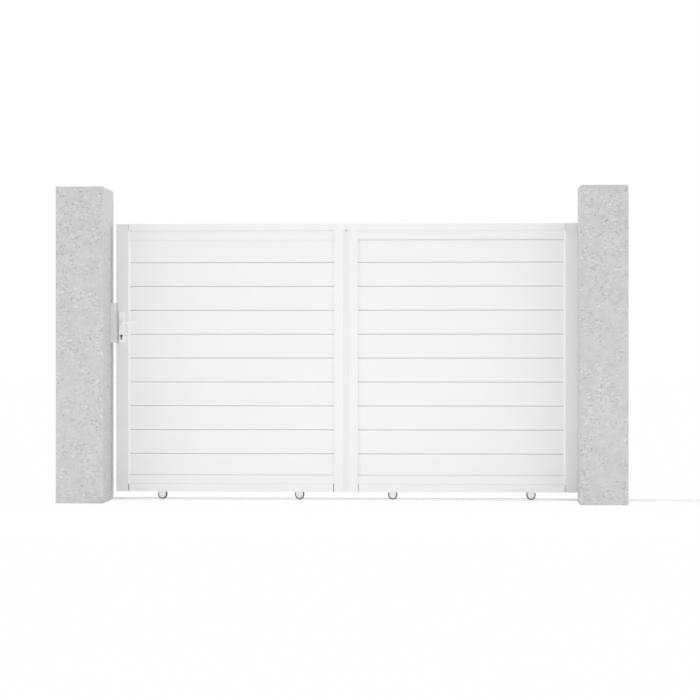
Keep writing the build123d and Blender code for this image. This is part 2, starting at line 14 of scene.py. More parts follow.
import bmesh
import bpy
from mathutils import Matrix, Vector


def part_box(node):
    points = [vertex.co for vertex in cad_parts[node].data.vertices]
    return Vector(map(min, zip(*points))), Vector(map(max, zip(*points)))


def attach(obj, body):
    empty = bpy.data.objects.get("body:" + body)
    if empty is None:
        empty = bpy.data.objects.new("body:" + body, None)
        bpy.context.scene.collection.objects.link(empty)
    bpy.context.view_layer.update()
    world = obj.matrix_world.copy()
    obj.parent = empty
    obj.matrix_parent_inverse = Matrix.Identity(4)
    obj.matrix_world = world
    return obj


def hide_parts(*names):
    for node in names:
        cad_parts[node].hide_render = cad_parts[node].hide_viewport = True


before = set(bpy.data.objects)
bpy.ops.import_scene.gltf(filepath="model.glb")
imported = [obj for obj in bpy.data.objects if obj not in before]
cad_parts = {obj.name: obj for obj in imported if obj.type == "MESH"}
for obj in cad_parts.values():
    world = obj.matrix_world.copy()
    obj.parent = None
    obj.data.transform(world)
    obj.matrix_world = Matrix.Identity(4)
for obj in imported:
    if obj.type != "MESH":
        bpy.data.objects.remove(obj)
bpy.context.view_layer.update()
log = logging.getLogger("sliding_gate")

MM = 0.001
NOISE_SPAN = (0.3, 0.7)
Colour = tuple[float, float, float]
Span = tuple[float, float]
Outline = Callable[[float], float]
Operand = Union["Signal", float, Sequence[float]]


class Body(Enum):
    """The bodies of the frame that pieces ride on."""

    POSTS = "posts"
    LEAF = "leaf"


class Side(Enum):
    """The two faces of the leaf, as signs along Y."""

    STREET = -1
    YARD = 1


class Signal:
    """One socket of a shader graph, which takes part in plain arithmetic."""

    def __init__(self, graph: "Graph", socket: bpy.types.NodeSocket | None) -> None:
        """Wraps a socket.

        Args:
            graph: The graph that new nodes are added to.
            socket: The output socket that is wrapped, if there is one.
        """
        self.graph = graph
        self.socket = socket

    @property
    def is_vector(self) -> bool:
        """Whether the socket carries a vector."""
        return self.socket.type == "VECTOR"

    def _combine(self, operation: str, first: Operand, second: Operand) -> "Signal":
        """Adds the Math or Vector Math node of one operation.

        Args:
            operation: The node's operation, such as ADD.
            first: The left operand.
            second: The right operand.

        Returns:
            The result as a new signal.
        """
        operands = [first, second]
        if any(isinstance(item, Signal) and item.is_vector for item in operands):
            values = {i: self._as_vector(item) for i, item in enumerate(operands)}
            return self.graph.add("ShaderNodeVectorMath", {"operation": operation}, values)
        return self.graph.add("ShaderNodeMath", {"operation": operation}, dict(enumerate(operands)))

    @staticmethod
    def _as_vector(item: Operand) -> Operand:
        """A plain number as a vector of three like numbers; anything else as it is."""
        return (item, item, item) if isinstance(item, (int, float)) else item

    def __add__(self, other: Operand) -> "Signal":
        """This signal plus another."""
        return self._combine("ADD", self, other)

    def __sub__(self, other: Operand) -> "Signal":
        """This signal minus another."""
        return self._combine("SUBTRACT", self, other)

    def __rsub__(self, other: float) -> "Signal":
        """A number minus this signal."""
        return self._combine("SUBTRACT", other, self)

    def __mul__(self, other: Operand) -> "Signal":
        """This signal times another."""
        return self._combine("MULTIPLY", self, other)

    def __truediv__(self, other: Operand) -> "Signal":
        """This signal divided by another."""
        return self._combine("DIVIDE", self, other)

    def __pow__(self, other: float) -> "Signal":
        """This signal to a power."""
        return self._combine("POWER", self, other)

    def clamped(
        self, low: float, high: float, new_low: float = 0.0, new_high: float = 1.0
    ) -> "Signal":
        """Maps a range of this signal onto another range, and holds it at both ends.

        Args:
            low: The value that becomes new_low.
            high: The value that becomes new_high.
            new_low: The result at low and below.
            new_high: The result at high and above.

        Returns:
            The mapped signal.
        """
        values = {"Value": self, "From Min": low, "From Max": high}
        values |= {"To Min": new_low, "To Max": new_high}
        return self.graph.add("ShaderNodeMapRange", {"clamp": True}, values)


class Graph:
    """The shader graph of one material or of the world, with one way to add every kind of node."""

    def __init__(self, owner: str | bpy.types.World) -> None:
        """Starts an empty graph.

        Args:
            owner: The name of a new material, or the world whose graph this is.
        """
        self.owner = bpy.data.materials.new(owner) if isinstance(owner, str) else owner
        self.owner.use_nodes = True
        self.tree = self.owner.node_tree
        self.tree.nodes.clear()

    def add(
        self,
        kind: str,
        settings: Mapping[str, object] | None = None,
        inputs: Mapping[str | int, object] | None = None,
        output: str | int = 0,
    ) -> Signal:
        """Adds a node, makes its settings, then fills its inputs.

        Args:
            kind: The node's type name.
            settings: The node's own properties.
            inputs: A value or a signal for each named or numbered socket.
            output: The output that the result stands for.

        Returns:
            The chosen output as a signal, which is empty for a node that ends the graph.
        """
        node = self.tree.nodes.new(kind)
        for name, value in (settings or {}).items():
            setattr(node, name, value)
        for key, value in (inputs or {}).items():
            self._fill(node.inputs[key], value)
        return Signal(self, node.outputs[output] if node.outputs else None)

    def _fill(self, socket: bpy.types.NodeSocket, value: object) -> None:
        """Links a signal to an input, or sets the input's own value.

        Args:
            socket: The input socket.
            value: The signal or the plain value; a colour may have three parts.
        """
        if isinstance(value, Signal):
            self.tree.links.new(value.socket, socket)
        elif socket.type == "RGBA" and not isinstance(value, (int, float)):
            socket.default_value = (*value, 1.0)[:4]
        else:
            socket.default_value = value

    def place(self) -> Signal:
        """The point on the piece, in metres in the frame's axes at rest."""
        return self.add("ShaderNodeTexCoord", output="Object")

    def distance(self, axis: str, place: float) -> Signal:
        """How far the point on the piece is from a plane across one axis, in metres."""
        along = self.add("ShaderNodeSeparateXYZ", inputs={0: self.place()}, output=axis)
        return self.add("ShaderNodeMath", {"operation": "ABSOLUTE"}, {0: along - place})

    def noise(self, size: float, detail: float = 2.0, stretch: Colour = (1.0, 1.0, 1.0)) -> Signal:
        """Smooth noise from 0 to 1.

        Args:
            size: The size of its features in metres.
            detail: How many finer layers it has.
            stretch: How much the features stretch along each axis.

        Returns:
            The noise's value.
        """
        scale = tuple(1.0 / (size * factor) for factor in stretch)
        vector = self.place() * scale
        values = {"Vector": vector, "Scale": 1.0, "Detail": detail}
        return self.add("ShaderNodeTexNoise", inputs=values)

    def crystals(self, size: float) -> Signal:
        """A random colour for each of many cells of about one size in metres, as in zinc."""
        values = {"Vector": self.place(), "Scale": 1.0 / size}
        return self.add("ShaderNodeTexVoronoi", inputs=values, output="Color")

    def tint(self, low: Colour, high: Colour, amount: Signal) -> Signal:
        """A blend from one colour to another.

        Args:
            low: The colour where amount is 0.
            high: The colour where amount is 1.
            amount: The blend.

        Returns:
            The blended colour.
        """
        node = self.tree.nodes.new("ShaderNodeMix")
        node.data_type = "RGBA"
        sockets = {socket.identifier: socket for socket in node.inputs}
        self._fill(sockets["Factor_Float"], amount)
        self._fill(sockets["A_Color"], low)
        self._fill(sockets["B_Color"], high)
        outputs = {socket.identifier: socket for socket in node.outputs}
        return Signal(self, outputs["Result_Color"])

    def bump(
        self, height: Signal, depth: float, strength: float = 1.0, under: Signal | None = None
    ) -> Signal:
        """Relief from a height signal.

        Args:
            height: The height, from 0 to 1.
            depth: The real depth in metres that 1 stands for.
            strength: How strongly the relief shows.
            under: An earlier relief that this one lies on.

        Returns:
            The changed normal.
        """
        values = {"Height": height, "Distance": depth, "Strength": strength}
        if under is not None:
            values["Normal"] = under
        return self.add("ShaderNodeBump", inputs=values)

    def surface(
        self, colour: Signal, roughness: Signal, normal: Signal, constants: Mapping[str, float]
    ) -> bpy.types.Material:
        """Ends the graph in one principled surface.

        Args:
            colour: The surface's colour.
            roughness: Its roughness.
            normal: Its normal with the relief in it.
            constants: Values that are the same all over, set on the shader's own sockets.

        Returns:
            The finished material.
        """
        varying = {"Base Color": colour, "Roughness": roughness, "Normal": normal}
        shader = self.add("ShaderNodeBsdfPrincipled", inputs={**constants, **varying})
        self.add("ShaderNodeOutputMaterial", inputs={"Surface": shader})
        return self.owner


@dataclass(frozen=True)
class Finish:
    """What every finish has: a name and the record's slot that it stands for."""

    name: str
    slot: str

    def material(self) -> bpy.types.Material:
        """The finish's material, made once and shared."""
        known = bpy.data.materials.get(self.name)
        return known if known else self.make()

    def make(self) -> bpy.types.Material:
        """Builds the material's graph."""
        raise NotImplementedError


@dataclass(frozen=True)
class Seam:
    """A thin line of painted shade where two pieces meet, along a plane across one axis.

    Attributes:
        axis: The axis that the plane is across.
        place: Where the plane crosses that axis.
        half: Half the width of the line at its full strength.
        depth: How dark the line is, from 0 to 1.
        soft: How far the line fades out on each side.
    """

    axis: str
    place: float
    half: float = 1.6 * MM
    depth: float = 0.45
    soft: float = 0.8 * MM

    def mask(self, graph: Graph) -> Signal:
        """How dark the painted shade line is at each point, from 0 to its depth."""
        away = graph.distance(self.axis, self.place)
        return away.clamped(self.half + self.soft, self.half, 0.0, self.depth)


@dataclass(frozen=True)
class PowderCoat(Finish):
    """Baked powder paint: nearly even colour, fine orange peel, slightly uneven gloss, and lines of
    painted shade along its joints.
    """

    colour: Colour = (0.925, 0.925, 0.925)
    shade: float = 0.985
    roughness: float = 0.42
    peel_size: float = 1.6 * MM
    peel_depth: float = 0.03 * MM
    seams: tuple[Seam, ...] = ()
    painted_shade_colour: Colour = (0.16, 0.155, 0.15)
    cloud_size: float = 0.42
    fleck_size: float = 0.012
    fleck_share: float = 0.2
    gloss_spread: float = 0.05
    cloud_span: Span = (0.35, 0.65)

    def make(self) -> bpy.types.Material:
        """Builds the paint's graph.

        Returns:
            The finished material.
        """
        graph = Graph(self.name)
        clouds = graph.noise(self.cloud_size, 3.0).clamped(*self.cloud_span)
        flecks = graph.noise(self.fleck_size)
        darker = tuple(part * self.shade for part in self.colour)
        light = clouds * (1 - self.fleck_share) + flecks * self.fleck_share
        colour = graph.tint(darker, self.colour, light)
        # Each seam paints a line of shade into the colour, towards the dark seam colour.
        for seam in self.seams:
            colour = graph.tint(colour, self.painted_shade_colour, seam.mask(graph))
        least, most = self.roughness - self.gloss_spread, self.roughness + self.gloss_spread
        gloss = flecks.clamped(*NOISE_SPAN, least, most)
        normal = graph.bump(graph.noise(self.peel_size, 1.0), self.peel_depth, 0.6)
        return graph.surface(colour, gloss, normal, {"IOR": 1.5})


@dataclass(frozen=True)
class Roughcast(Finish):
    """Scraped cement render: light grey, with clusters of pale crumbs and dark pits that follow the
    relief: painted highlight on its high points and painted shade in its hollows.
    """

    pale: Colour = (0.8, 0.8, 0.8)
    light: Colour = (0.645, 0.645, 0.645)
    even: Colour = (0.585, 0.585, 0.585)
    dark: Colour = (0.36, 0.36, 0.36)
    crumb: float = 11.0 * MM
    drag: float = 17.6 * MM
    drag_stretch: Colour = (1.8, 1.8, 0.7)
    drag_share: float = 0.4
    patch: float = 49.5 * MM
    cluster: float = 85.0 * MM
    outside_clusters: float = 0.25
    relief: float = 2.2 * MM
    grain: float = 2.0 * MM
    grain_depth: float = 0.3 * MM
    cluster_span: Span = (0.38, 0.62)
    patch_span: Span = (0.32, 0.68)
    pit_shade_span: Span = (0.46, 0.32)
    crumb_highlight_span: Span = (0.54, 0.68)
    patch_roughness: tuple[float, float, float, float] = (0.2, 0.8, 0.88, 0.98)

    def make(self) -> bpy.types.Material:
        """Builds the render's graph.

        Returns:
            The finished material.
        """
        graph = Graph(self.name)
        crumbs = graph.noise(self.crumb)
        drags = graph.noise(self.drag, 2.0, self.drag_stretch)
        clusters = graph.noise(self.cluster, 1.0)
        where = clusters.clamped(*self.cluster_span, self.outside_clusters, 1.0)
        patches = graph.noise(self.patch).clamped(*self.patch_span)
        height = crumbs * (1 - self.drag_share) + drags * self.drag_share
        ground = graph.tint(self.even, self.light, patches)
        # The colour follows the relief's height: painted shade in the pits, painted highlight on
        # the crumbs.
        pit_shaded = graph.tint(ground, self.dark, height.clamped(*self.pit_shade_span) * where)
        colour = graph.tint(pit_shaded, self.pale, height.clamped(*self.crumb_highlight_span) * where)
        rough = patches.clamped(*self.patch_roughness)
        fine = graph.bump(graph.noise(self.grain), self.grain_depth, 0.6)
        normal = graph.bump(height, self.relief, 0.8, fine)
        return graph.surface(colour, rough, normal, {"Specular IOR Level": 0.25})


@dataclass(frozen=True)
class ZincPlate(Finish):
    """Galvanised or zinc-plated steel with pale crystals and dull spots."""

    colour: Colour = (0.88, 0.88, 0.885)
    dull: Colour = (0.8, 0.8, 0.81)
    crystal: float = 9.0 * MM
    roughness: float = 0.42
    metallic: float = 0.9
    cloud_size: float = 0.05
    gloss_spread: float = 0.12
    gloss_start: float = 0.1
    crystal_share: float = 0.55
    grain: float = 1.2 * MM
    grain_depth: float = 0.03 * MM

    def make(self) -> bpy.types.Material:
        """Builds the zinc's graph.

        Returns:
            The finished material.
        """
        graph = Graph(self.name)
        crystals = graph.crystals(self.crystal)
        tone = graph.add("ShaderNodeRGBToBW", inputs={"Color": crystals})
        cloud = graph.noise(self.cloud_size, 3.0)
        share = self.crystal_share
        light = tone * share + cloud.clamped(*NOISE_SPAN) * (1 - share)
        colour = graph.tint(self.dull, self.colour, light)
        gloss = (tone + cloud) * self.gloss_spread + (self.roughness - self.gloss_start)
        normal = graph.bump(graph.noise(self.grain), self.grain_depth, 0.4)
        return graph.surface(colour, gloss, normal, {"Metallic": self.metallic})


@dataclass(frozen=True)
class TurnedMetal(Finish):
    """Metal turned on a lathe, with fine rings round an axle that lies along Y."""

    colour: Colour = (0.12, 0.088, 0.068)
    worn: Colour = (0.19, 0.145, 0.115)
    roughness: float = 0.42
    metallic: float = 0.6
    ring: float = 0.7 * MM
    cloud_size: float = 0.01
    centre_x: float = 0.0
    centre_z: float = 0.0
    ring_depth: float = 0.02 * MM
    ring_share: float = 0.3
    wear_span: Span = (0.35, 0.7)
    gloss_offsets: Span = (-0.06, 0.08)

    def make(self) -> bpy.types.Material:
        """Builds the turned metal's graph.

        Returns:
            The finished material.
        """
        graph = Graph(self.name)
        away = graph.place() - (self.centre_x, 0.0, self.centre_z)
        flat = away * (1.0, 0.0, 1.0)
        radius = graph.add("ShaderNodeVectorMath", {"operation": "LENGTH"}, {0: flat}, "Value")
        values = {"W": radius / self.ring, "Scale": 1.0, "Detail": 2.0}
        rings = graph.add("ShaderNodeTexNoise", {"noise_dimensions": "1D"}, values)
        cloud = graph.noise(self.cloud_size, 3.0)
        share = self.ring_share
        wear = cloud.clamped(*self.wear_span) * (1 - share) + rings * share
        colour = graph.tint(self.colour, self.worn, wear)
        least, most = [self.roughness + offset for offset in self.gloss_offsets]
        gloss = rings.clamped(*NOISE_SPAN, least, most)
        normal = graph.bump(rings, self.ring_depth, 0.5)
        return graph.surface(colour, gloss, normal, {"Metallic": self.metallic})


@dataclass(frozen=True)
class BrushedMetal(Finish):
    """Metal with brushing along one axis and a faint tarnish."""

    colour: Colour = (0.66, 0.66, 0.65)
    tarnish: Colour = (0.5, 0.5, 0.49)
    roughness: float = 0.32
    grain: Colour = (1.0, 1.0, 40.0)
    line_size: float = 0.35 * MM
    stain_size: float = 0.008
    line_depth: float = 0.015 * MM
    line_share: float = 0.25
    stain_span: Span = (0.3, 0.6)
    gloss_offsets: Span = (-0.06, 0.1)

    def make(self) -> bpy.types.Material:
        """Builds the brushed metal's graph.

        Returns:
            The finished material.
        """
        graph = Graph(self.name)
        lines = graph.noise(self.line_size, 2.0, self.grain)
        stain = graph.noise(self.stain_size, 3.0)
        share = self.line_share
        clean = stain.clamped(*self.stain_span) * (1 - share) + lines * share
        colour = graph.tint(self.tarnish, self.colour, clean)
        least, most = [self.roughness + offset for offset in self.gloss_offsets]
        gloss = lines.clamped(*NOISE_SPAN, least, most)
        normal = graph.bump(lines, self.line_depth, 0.5)
        return graph.surface(colour, gloss, normal, {"Metallic": 1.0})


@dataclass(frozen=True)
class Moulded(Finish):
    """Moulded rubber or plastic with a fine even grain and faint dust."""

    colour: Colour = (0.05, 0.05, 0.05)
    dusty: Colour = (0.09, 0.088, 0.085)
    roughness: float = 0.7
    grain: float = 0.8 * MM
    dust_size: float = 0.018
    gloss_spread: float = 0.07
    grain_depth: float = 0.04 * MM
    dust_span: Span = (0.4, 0.75)

    def make(self) -> bpy.types.Material:
        """Builds the moulding's graph.

        Returns:
            The finished material.
        """
        graph = Graph(self.name)
        dust = graph.noise(self.dust_size, 3.0)
        colour = graph.tint(self.colour, self.dusty, dust.clamped(*self.dust_span))
        least, most = self.roughness - self.gloss_spread, self.roughness + self.gloss_spread
        gloss = dust.clamped(*NOISE_SPAN, least, most)
        normal = graph.bump(graph.noise(self.grain, 1.0), self.grain_depth, 0.5)
        return graph.surface(colour, gloss, normal, {"IOR": 1.48})


NO_GRAIN = (1.0, 1.0, 1.0)
HOUSING_PAINT = PowderCoat(
    "housing_paint", "housing_white", (0.91, 0.9, 0.87), shade=0.97, roughness=0.5
)
HANDLE_PAINT = PowderCoat(
    "handle_paint", "handle_white", (0.96, 0.96, 0.96), roughness=0.28,
    peel_size=1.2 * MM, peel_depth=0.015 * MM,
)
PILLAR_RENDER = Roughcast("pillar_render", "render")
ZINC = ZincPlate("zinc_plate", "galvanised_steel")
TRACK_ZINC = ZincPlate(
    "track_zinc", "galvanised_steel", (0.97, 0.97, 0.97), (0.93, 0.93, 0.935)
)
DULL_ZINC = ZincPlate(
    "dull_zinc", "galvanised_steel", (0.86, 0.86, 0.865), (0.78, 0.78, 0.79), metallic=0.25
)
BOLT_ZINC = ZincPlate(
    "bolt_zinc", "galvanised_steel", (0.76, 0.76, 0.77), (0.64, 0.64, 0.66), 4 * MM, 0.36
)
AXLE_ZINC = ZincPlate(
    "axle_zinc", "galvanised_steel", (0.95, 0.94, 0.92), (0.88, 0.87, 0.85), 4 * MM, 0.3
)
STAINLESS = BrushedMetal("brushed_stainless", "stainless")
BRASS = BrushedMetal(
    "worn_brass", "brass", (0.46, 0.3, 0.19), (0.24, 0.16, 0.11), 0.36, NO_GRAIN
)
PLUG_METAL = BrushedMetal(
    "plug_metal", "brass", (0.17, 0.14, 0.12), (0.09, 0.075, 0.065), 0.4, NO_GRAIN
)
RUBBER = Moulded("black_rubber", "black_rubber")
NYLON = Moulded(
    "roller_nylon", "nylon", (0.8, 0.79, 0.75), (0.72, 0.71, 0.67), 0.5, 1.2 * MM
)
CAP_PLASTIC = Moulded(
    "cap_plastic", "cap_plastic", (0.86, 0.86, 0.855), (0.82, 0.82, 0.81), 0.55
)
SEAL_RUBBER = Moulded(
    "bearing_seal", "black_rubber", (0.06, 0.055, 0.05), (0.1, 0.095, 0.09), 0.55, 0.6 * MM
)


@dataclass
class Seat:
    """A place and a direction that a small turned or headed piece is built on."""

    origin: Vector
    axis: Vector

    def __post_init__(self) -> None:
        """Works out two directions across the axis."""
        self.axis = self.axis.normalized()
        helper = Vector((0, 0, 1)) if abs(self.axis.z) < 0.9 else Vector((1, 0, 0))
        self.across = self.axis.cross(helper).normalized()
        self.beside = self.axis.cross(self.across)

    def point(self, radius: float, angle: float, height: float) -> Vector:
        """A point at a radius and angle round the axis, at a height along it."""
        offset = self.across * math.cos(angle) + self.beside * math.sin(angle)
        return self.origin + offset * radius + self.axis * height

    def loop(self, radius: float | Outline, height: float, count: int) -> list[Vector]:
        """A closed loop of points round the axis.

        Args:
            radius: The loop's radius, or a rule that gives it from the angle.
            height: The loop's height along the axis.
            count: How many points the loop has.

        Returns:
            The points in order.
        """
        rule = radius if callable(radius) else lambda angle: radius
        angles = [math.tau * i / count for i in range(count)]
        return [self.point(rule(angle), angle, height) for angle in angles]


def slot_outline(width: float, height: float) -> Outline:
    """The outline of a round-ended slot.

    Args:
        width: The slot's size along angle 0.
        height: The slot's size along the quarter turn.

    Returns:
        The rule that gives the outline's radius from the angle.
    """
    half = width / 2
    straight = height / 2 - half

    def rule(angle: float) -> float:
        """The outline's radius at one angle.

        Args:
            angle: The angle in radians.

        Returns:
            The radius.
        """
        across, along = abs(math.cos(angle)), abs(math.sin(angle))
        if across > 0 and half * along / across <= straight:
            return half / across
        return straight * along + math.sqrt(max(half**2 - (straight * across) ** 2, 0.0))

    return rule


def hexagon(across_flats: float) -> Outline:
    """The radius of a hexagon's outline at an angle, from its size across flats."""
    sector = math.tau / 6
    return lambda angle: across_flats / 2 / math.cos((angle + sector / 2) % sector - sector / 2)


class Skin:
    """A mesh under construction, made of loops of points that are joined by quads."""

    def __init__(self, name: str) -> None:
        """Starts an empty mesh.

        Args:
            name: The name of the finished piece.
        """
        self.name = name
        self.mesh = bmesh.new()

    def join(
        self,
        loops: Iterable[Sequence[Vector]],
        closed: tuple[bool, bool] = (True, True),
        slots: Sequence[int] | int = 0,
    ) -> None:
        """Joins loops of equal length into one skin.

        Args:
            loops: The loops, each a closed ring of points.
            closed: Whether the first and the last loop are filled with a face.
            slots: The material slot of each band between loops, or one for all of them.
        """
        rings = [[self.mesh.verts.new(point) for point in loop] for loop in loops]
        bands = [slots] * (len(rings) - 1) if isinstance(slots, int) else list(slots)
        for band, (low, high) in zip(bands, zip(rings, rings[1:])):
            for i in range(len(low)):
                j = (i + 1) % len(low)
                face = self.mesh.faces.new((low[i], low[j], high[j], high[i]))
                face.material_index = band
        for end, wanted in zip((0, -1), closed):
            if wanted:
                self.mesh.faces.new(rings[end]).material_index = bands[end]

    def finish(
        self, finishes: Sequence[Finish], body: Body | str, sharp: float = 32.0
    ) -> bpy.types.Object:
        """Turns the skin into a piece that rides on a body.

        Args:
            finishes: The piece's finishes, in the order of its material slots.
            body: The body that the piece rides on.
            sharp: The angle in degrees above which an edge stays sharp.

        Returns:
            The finished piece.
        """
        bmesh.ops.recalc_face_normals(self.mesh, faces=self.mesh.faces)
        data = bpy.data.meshes.new(self.name)
        self.mesh.to_mesh(data)
        self.mesh.free()
        data.shade_smooth()
        data.set_sharp_from_angle(angle=math.radians(sharp))
        for finish in finishes:
            data.materials.append(finish.material())
        piece = bpy.data.objects.new(self.name, data)
        bpy.context.scene.collection.objects.link(piece)
        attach(piece, body.value if isinstance(body, Body) else body)
        log.info("%s: %d faces on %s", self.name, len(data.polygons), body)
        return piece


def dress(nodes: Iterable[str], finish: Finish) -> None:
    """Gives nodes of the frame a finish.

    Args:
        nodes: The names of the nodes.
        finish: The finish that they get.
    """
    for name in nodes:
        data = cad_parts[name].data
        data.materials.clear()
        data.materials.append(finish.material())
        log.info("%s: dressed in %s", name, finish.name)


@dataclass
class ScrewHead:
    """A fastener's head.

    Attributes:
        radius: The head's radius, or half its size across flats.
        height: Its height.
        socket: The size across flats of a domed head's socket.
        socket_floor: How high the socket's floor is, as a share of the height.
        dome: A domed head's profile, in shares of the radius and the height.
        flat: How wide a hexagonal head's flat top is, as a share of the radius.
        chamfer: The angle of its chamfer in degrees.
        washer_height: The washer's thickness.
        washer_edge: The washer's chamfer.
        points: How many points each loop has.
    """

    radius: float = 6.0 * MM
    height: float = 2.6 * MM
    socket: float = 4.0 * MM
    socket_floor: float = 0.35
    dome: tuple[tuple[float, float], ...] = (
        (1.0, 0.0), (1.0, 0.25), (0.96, 0.5), (0.85, 0.8), (0.68, 0.97), (0.5, 1.0),
    )
    flat: float = 0.93
    chamfer: float = 28.0
    washer_height: float = 1.6 * MM
    washer_edge: float = 0.3 * MM
    points: int = 48

    def pan(self, skin: Skin, seat: Seat) -> None:
        """Adds a low domed head with a hexagonal socket.

        Args:
            skin: The mesh that takes the head.
            seat: Where the head sits and which way it faces.
        """
        r, h, n = self.radius, self.height, self.points
        loops = [seat.loop(r * across, h * up, n) for across, up in self.dome]
        rim = hexagon(self.socket)
        loops += [seat.loop(rim, h, n), seat.loop(rim, h * self.socket_floor, n)]
        skin.join(loops)

    def hexagonal(self, skin: Skin, seat: Seat, washer: float) -> None:
        """Adds a chamfered hexagonal head on a washer.

        Args:
            skin: The mesh that takes the head.
            seat: Where the washer sits and which way the head faces.
            washer: The washer's radius.
        """
        base, edge, n = self.washer_height, self.washer_edge, self.points
        ring = [(washer, 0.0), (washer, base - edge), (washer - edge, base)]
        skin.join([seat.loop(radius, height, n) for radius, height in ring])
        top = base + self.height
        outline = hexagon(2 * self.radius)
        loops = [seat.loop(outline, base, n), self._scalloped(seat, outline, top)]
        loops.append(seat.loop(self.radius * self.flat, top, n))
        skin.join(loops)

    def _scalloped(self, seat: Seat, outline: Outline, top: float) -> list[Vector]:
        """The upper edge of a hexagon's sides, which the chamfer cuts lower at its corners.

        Args:
            seat: Where the head sits.
            outline: The hexagon.
            top: The height of the head's top.

        Returns:
            The edge's points in order.
        """
        inner = self.radius * self.flat
        slope = math.tan(math.radians(self.chamfer))
        found = []
        for i in range(self.points):
            angle = math.tau * i / self.points
            radius = outline(angle)
            found.append(seat.point(radius, angle, top - (radius - inner) * slope))
        return found


@dataclass
class Pillars:
    """The two rendered pillars."""

    nodes: tuple[str, ...] = ("closing_pillar", "guide_pillar")

    def build(self) -> None:
        """Dresses both pillars."""
        dress(self.nodes, PILLAR_RENDER)


def leaf_paint(name: str, seams: tuple[Seam, ...] = (), tone: float = 1.0) -> PowderCoat:
    """The leaf's white paint.

    Args:
        name: The name of the paint's material.
        seams: The joints that show in it.
        tone: How light it is against the plain white.

    Returns:
        The paint.
    """
    white = tuple(part * tone for part in PowderCoat.colour)
    return PowderCoat(name, "leaf_white", white, seams=seams)


@dataclass
class Panel:
    """One panel's boards and rails, and how dark each line of painted shade round them is.

    Attributes:
        side: The panel's side of the leaf, left or right.
        over_rail: How dark the line above the upper rail is.
        under_rail: How dark the line below the upper rail is.
        end: How dark the line at the boards' left end is.
        sill: How dark the line above the lower rail is.
        foot: How dark the line below the lower rail is.
        groove: How dark the painted shade in the grooves between boards is.
        groove_floor: How far a groove's floor is from the leaf's middle plane.
        groove_shade: How far the painted shade reaches up a groove's sides.
        groove_fade: How far it fades out beyond that.
        end_half: Half the width of the line at the boards' left end.
        end_fade: How far it fades out.
        foot_fade: How far the line below the lower rail fades out.
    """

    side: str
    over_rail: float
    under_rail: float
    end: float
    sill: float = 0.65
    foot: float = 0.15
    groove: float = 0.7
    groove_floor: float = 9.0 * MM
    groove_shade: float = 0.8 * MM
    groove_fade: float = 0.6 * MM
    end_half: float = 2.2 * MM
    end_fade: float = 2.0 * MM
    foot_fade: float = 4.0 * MM

    def build(self) -> None:
        """Dresses the panel's boards and rails."""
        board_low, board_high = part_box(f"boards_{self.side}")
        upper_low, upper_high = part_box(f"upper_rail_{self.side}")
        lower_low, lower_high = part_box(f"lower_rail_{self.side}")
        middle = (board_low.y + board_high.y) / 2
        # Every seam here is a line of painted shade: in the grooves, above the sill, at the boards'
        # left end, and over and under the rails.
        under = Seam("Z", upper_low.z, depth=self.under_rail)
        groove_half = self.groove_floor + self.groove_shade
        boards = (
            Seam("Y", middle, groove_half, self.groove, self.groove_fade),
            Seam("Z", lower_high.z, depth=self.sill),
            Seam("X", board_low.x, self.end_half, self.end, self.end_fade),
            under,
        )
        rails = (
            Seam("Z", upper_high.z, depth=self.over_rail),
            Seam("Z", lower_low.z, depth=self.foot, soft=self.foot_fade),
            under,
        )
        dress([f"boards_{self.side}"], leaf_paint(f"board_paint_{self.side}", boards))
        names = [f"upper_rail_{self.side}", f"lower_rail_{self.side}"]
        dress(names, leaf_paint(f"rail_paint_{self.side}", rails))


@dataclass
class Leaf:
    """The leaf's frame, boards and small fasteners."""

    inner: tuple[str, ...] = (
        "middle_stile_left", "middle_stile_right",
        "tail_rail_top", "tail_rail_bottom", "tail_upright",
    )
    outer: tuple[str, ...] = ("closing_stile", "rear_stile")
    outer_shade_tone: float = 0.93
    strip_tone: float = 0.955
    panels: tuple[Panel, ...] = (Panel("left", 0.4, 0.08, 0.0), Panel("right", 0.15, 0.4, 0.4))
    end_shade_lines: Mapping[str, float] = field(
        default_factory=lambda: {"wheel_rail_left": 0.8, "wheel_rail_right": 0.8, "guide_rail": 0.5}
    )
    end_gap: float = 3.0 * MM
    end_gap_fade: float = 0.1 * MM
    joint_screw: ScrewHead = field(default_factory=lambda: ScrewHead(6.0 * MM, 2.8 * MM))

    def build(self) -> None:
        """Dresses the leaf and adds its screws."""
        dress(self.inner, leaf_paint("stile_paint"))
        # The outer stiles' paint is 7 % darker: painted shade that stands in for the pillars' shade
        # on them.
        dress(self.outer, leaf_paint("outer_stile_shaded_paint", tone=self.outer_shade_tone))
        dress(["middle_strip"], leaf_paint("strip_paint", tone=self.strip_tone))
        dress(["beads"], leaf_paint("bead_paint"))
        # The gaps at each rail's two ends get lines of painted shade.
        for name, shade in self.end_shade_lines.items():
            dress([name], leaf_paint(f"{name}_paint", self.end_seams(name, shade)))
        for panel in self.panels:
            panel.build()
        dress(["end_caps"], CAP_PLASTIC)
        self.add_joint_screws()

    def end_seams(self, name: str, shade: float) -> tuple[Seam, ...]:
        """The painted shade in the gaps at the two ends of a rail that stands between stiles.

        Args:
            name: The rail's node.
            shade: How dark the painted shade in the gaps is.

        Returns:
            The two lines of painted shade.
        """
        low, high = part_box(name)
        ends = (low.x, high.x)
        return tuple(Seam("X", x, self.end_gap, shade, self.end_gap_fade) for x in ends)

    def add_joint_screws(self) -> None:
        """Adds the screw that joins guide rail and middle strip, on both faces of the leaf."""
        low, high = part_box("guide_rail")
        skin = Skin("joint_screws")
        for side in Side:
            face = low.y if side is Side.STREET else high.y
            centre = Vector(((low.x + high.x) / 2, face, low.z))
            self.joint_screw.pan(skin, Seat(centre, Vector((0, side.value, 0))))
        skin.finish([STAINLESS], Body.LEAF)


